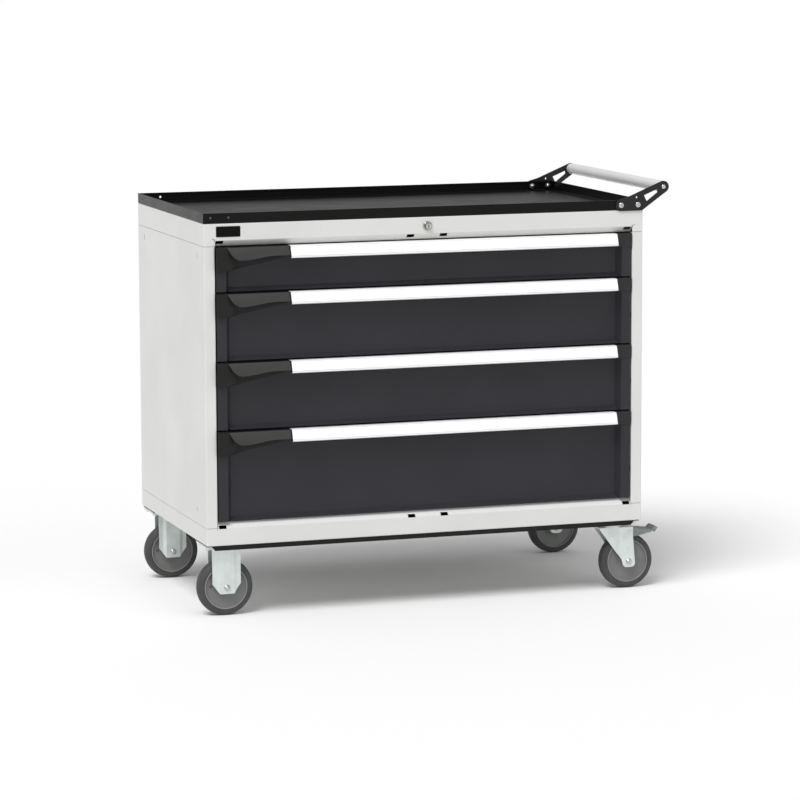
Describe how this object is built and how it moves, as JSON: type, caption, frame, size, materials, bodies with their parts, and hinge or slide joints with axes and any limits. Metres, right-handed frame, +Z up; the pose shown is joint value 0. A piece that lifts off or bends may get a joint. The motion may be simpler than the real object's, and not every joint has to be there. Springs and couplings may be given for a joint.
{
  "type": "mobile workbench with drawers",
  "caption": "Mobile steel workshop cabinet with a tray top, push handle, central lock, stacked drawers on two-stage slides, fixed casters and braked swivel casters.",
  "frame": {"origin": "on the floor, under the middle of the whole object's bounding box", "axes": "+X towards the end with the push handle and swivel casters, +Y from the drawer fronts to the back, +Z up"},
  "size_m": [1.0836, 0.595, 0.9249],
  "materials": {
    "body_enamel": "light grey fine-textured powder coat",
    "tray_enamel": "black powder coat, semi-gloss",
    "underframe_enamel": "black powder coat, satin",
    "bracket_enamel": "black fine-textured powder coat",
    "plate_plastic": "black satin",
    "slide_steel": "bright zinc-plated roll-formed steel",
    "drawer_enamel": "anthracite powder coat, satin",
    "pull_profile": "white satin",
    "cap_plastic": "moulded black, fine grain",
    "grip_enamel": "light grey satin",
    "lock_nickel": "satin nickel",
    "lock_steel": "zinc plated",
    "bolt_zinc": "bright zinc",
    "caster_zinc": "pressed steel, blue zinc plated",
    "axle_zinc": "zinc plated",
    "hub_plastic": "grey polypropylene",
    "tyre_rubber": "grey non-marking rubber"
  },
  "bodies": {
    "root": {"left_side_panel": "body_enamel", "right_side_panel": "body_enamel", "back_panel": "body_enamel", "base_pan": "body_enamel", "top_cap": "body_enamel", "worktop_sheet": "tray_enamel", "tray_rim": "tray_enamel", "slide_uprights": "slide_steel", "cabinet_rails": "slide_steel", "underframe": "underframe_enamel", "name_plate": "plate_plastic", "lock_housing": "lock_nickel", "front_handle_bracket": "bracket_enamel", "rear_handle_bracket": "bracket_enamel", "grip_tube": "grip_enamel", "frame_bolts": "bolt_zinc", "fixed_forks": "caster_zinc", "fixed_axles": "axle_zinc", "swivel_plates": "caster_zinc"},
    "drawer_1": {"drawer_pan_1": "drawer_enamel", "drawer_front_1": "drawer_enamel", "pull_profile_1": "pull_profile", "pull_caps_1": "cap_plastic"},
    "runners_1": {"slide_runners_1": "slide_steel"},
    "catch_1": {"catch_lever_1": "cap_plastic"},
    "drawer_2": {"drawer_pan_2": "drawer_enamel", "drawer_front_2": "drawer_enamel", "pull_profile_2": "pull_profile", "pull_caps_2": "cap_plastic"},
    "runners_2": {"slide_runners_2": "slide_steel"},
    "catch_2": {"catch_lever_2": "cap_plastic"},
    "drawer_3": {"drawer_pan_3": "drawer_enamel", "drawer_front_3": "drawer_enamel", "pull_profile_3": "pull_profile", "pull_caps_3": "cap_plastic"},
    "runners_3": {"slide_runners_3": "slide_steel"},
    "catch_3": {"catch_lever_3": "cap_plastic"},
    "drawer_4": {"drawer_pan_4": "drawer_enamel", "drawer_front_4": "drawer_enamel", "pull_profile_4": "pull_profile", "pull_caps_4": "cap_plastic"},
    "runners_4": {"slide_runners_4": "slide_steel"},
    "catch_4": {"catch_lever_4": "cap_plastic"},
    "lock_plug": {"lock_plug": "lock_nickel"},
    "lock_bar": {"lock_bar": "lock_steel"},
    "lock_rod": {"lock_rod": "lock_steel"},
    "fixed_wheel_front": {"hub_fixed_front": "hub_plastic", "tyre_fixed_front": "tyre_rubber"},
    "swivel_front": {"swivel_fork_front": "caster_zinc", "swivel_axle_front": "axle_zinc"},
    "swivel_wheel_front": {"hub_swivel_front": "hub_plastic", "tyre_swivel_front": "tyre_rubber"},
    "brake_front": {"brake_pedal_front": "caster_zinc"},
    "fixed_wheel_rear": {"hub_fixed_rear": "hub_plastic", "tyre_fixed_rear": "tyre_rubber"},
    "swivel_rear": {"swivel_fork_rear": "caster_zinc", "swivel_axle_rear": "axle_zinc"},
    "swivel_wheel_rear": {"hub_swivel_rear": "hub_plastic", "tyre_swivel_rear": "tyre_rubber"},
    "brake_rear": {"brake_pedal_rear": "caster_zinc"}
  },
  "joints": [
    {"name": "drawer_1_slide", "type": "slide", "parent": "root", "child": "drawer_1", "axis": [0, -1, 0], "range_m": [0, 0.46]},
    {"name": "drawer_2_slide", "type": "slide", "parent": "root", "child": "drawer_2", "axis": [0, -1, 0], "range_m": [0, 0.46]},
    {"name": "drawer_3_slide", "type": "slide", "parent": "root", "child": "drawer_3", "axis": [0, -1, 0], "range_m": [0, 0.46]},
    {"name": "drawer_4_slide", "type": "slide", "parent": "root", "child": "drawer_4", "axis": [0, -1, 0], "range_m": [0, 0.46]},
    {"name": "runners_1_slide", "type": "slide", "parent": "root", "child": "runners_1", "axis": [0, -1, 0], "range_m": [0, 0.23]},
    {"name": "runners_2_slide", "type": "slide", "parent": "root", "child": "runners_2", "axis": [0, -1, 0], "range_m": [0, 0.23]},
    {"name": "runners_3_slide", "type": "slide", "parent": "root", "child": "runners_3", "axis": [0, -1, 0], "range_m": [0, 0.23]},
    {"name": "runners_4_slide", "type": "slide", "parent": "root", "child": "runners_4", "axis": [0, -1, 0], "range_m": [0, 0.23]},
    {"name": "catch_1_turn", "type": "hinge", "parent": "drawer_1", "child": "catch_1", "pos_m": [-0.40205, -0.2745, 0.4035], "axis": [-1, 0, 0], "range_deg": [0, 12], "stiffness_Nm_per_rad": 0.12, "springref_deg": -11.46},
    {"name": "catch_2_turn", "type": "hinge", "parent": "drawer_2", "child": "catch_2", "pos_m": [-0.40205, -0.2745, 0.5535], "axis": [-1, 0, 0], "range_deg": [0, 12], "stiffness_Nm_per_rad": 0.12, "springref_deg": -11.46},
    {"name": "catch_3_turn", "type": "hinge", "parent": "drawer_3", "child": "catch_3", "pos_m": [-0.40205, -0.2745, 0.7035], "axis": [-1, 0, 0], "range_deg": [0, 12], "stiffness_Nm_per_rad": 0.12, "springref_deg": -11.46},
    {"name": "catch_4_turn", "type": "hinge", "parent": "drawer_4", "child": "catch_4", "pos_m": [-0.40205, -0.2745, 0.8035], "axis": [-1, 0, 0], "range_deg": [0, 12], "stiffness_Nm_per_rad": 0.12, "springref_deg": -11.46},
    {"name": "lock_turn", "type": "hinge", "parent": "root", "child": "lock_plug", "pos_m": [-0.02625, -0.2775, 0.842], "axis": [0, -1, 0], "range_deg": [0, 90]},
    {"name": "lock_bar_slide", "type": "slide", "parent": "root", "child": "lock_bar", "axis": [1, 0, 0], "range_m": [0, 0.011]},
    {"name": "lock_rod_lift", "type": "slide", "parent": "root", "child": "lock_rod", "axis": [0, 0, 1], "range_m": [0, 0.01]},
    {"name": "fixed_wheel_front_roll", "type": "hinge", "parent": "root", "child": "fixed_wheel_front", "pos_m": [-0.47925, -0.2235, 0.0625], "axis": [0, 1, 0], "continuous": true},
    {"name": "swivel_front_turn", "type": "hinge", "parent": "root", "child": "swivel_front", "pos_m": [0.42675, -0.2235, 0.142], "axis": [0, 0, 1], "continuous": true},
    {"name": "swivel_wheel_front_roll", "type": "hinge", "parent": "swivel_front", "child": "swivel_wheel_front", "pos_m": [0.46275, -0.2235, 0.0625], "axis": [0, 1, 0], "continuous": true},
    {"name": "brake_front_press", "type": "hinge", "parent": "swivel_front", "child": "brake_front", "pos_m": [0.46575, -0.2235, 0.132], "axis": [0, 1, 0], "range_deg": [0, 12]},
    {"name": "fixed_wheel_rear_roll", "type": "hinge", "parent": "root", "child": "fixed_wheel_rear", "pos_m": [-0.47925, 0.2365, 0.0625], "axis": [0, 1, 0], "continuous": true},
    {"name": "swivel_rear_turn", "type": "hinge", "parent": "root", "child": "swivel_rear", "pos_m": [0.42675, 0.2365, 0.142], "axis": [0, 0, 1], "continuous": true},
    {"name": "swivel_wheel_rear_roll", "type": "hinge", "parent": "swivel_rear", "child": "swivel_wheel_rear", "pos_m": [0.46275, 0.2365, 0.0625], "axis": [0, 1, 0], "continuous": true},
    {"name": "brake_rear_press", "type": "hinge", "parent": "swivel_rear", "child": "brake_rear", "pos_m": [0.46575, 0.2365, 0.132], "axis": [0, 1, 0], "range_deg": [0, 12]}
  ],
  "couplings": [
    {"joint": "runners_1_slide", "follows": "drawer_1_slide", "ratio": 0.5},
    {"joint": "runners_2_slide", "follows": "drawer_2_slide", "ratio": 0.5},
    {"joint": "runners_3_slide", "follows": "drawer_3_slide", "ratio": 0.5},
    {"joint": "runners_4_slide", "follows": "drawer_4_slide", "ratio": 0.5},
    {"joint": "lock_turn", "follows": "lock_bar_slide", "rad_per_m": 142.8},
    {"joint": "lock_rod_lift", "follows": "lock_bar_slide", "ratio": 0.90909}
  ]
}
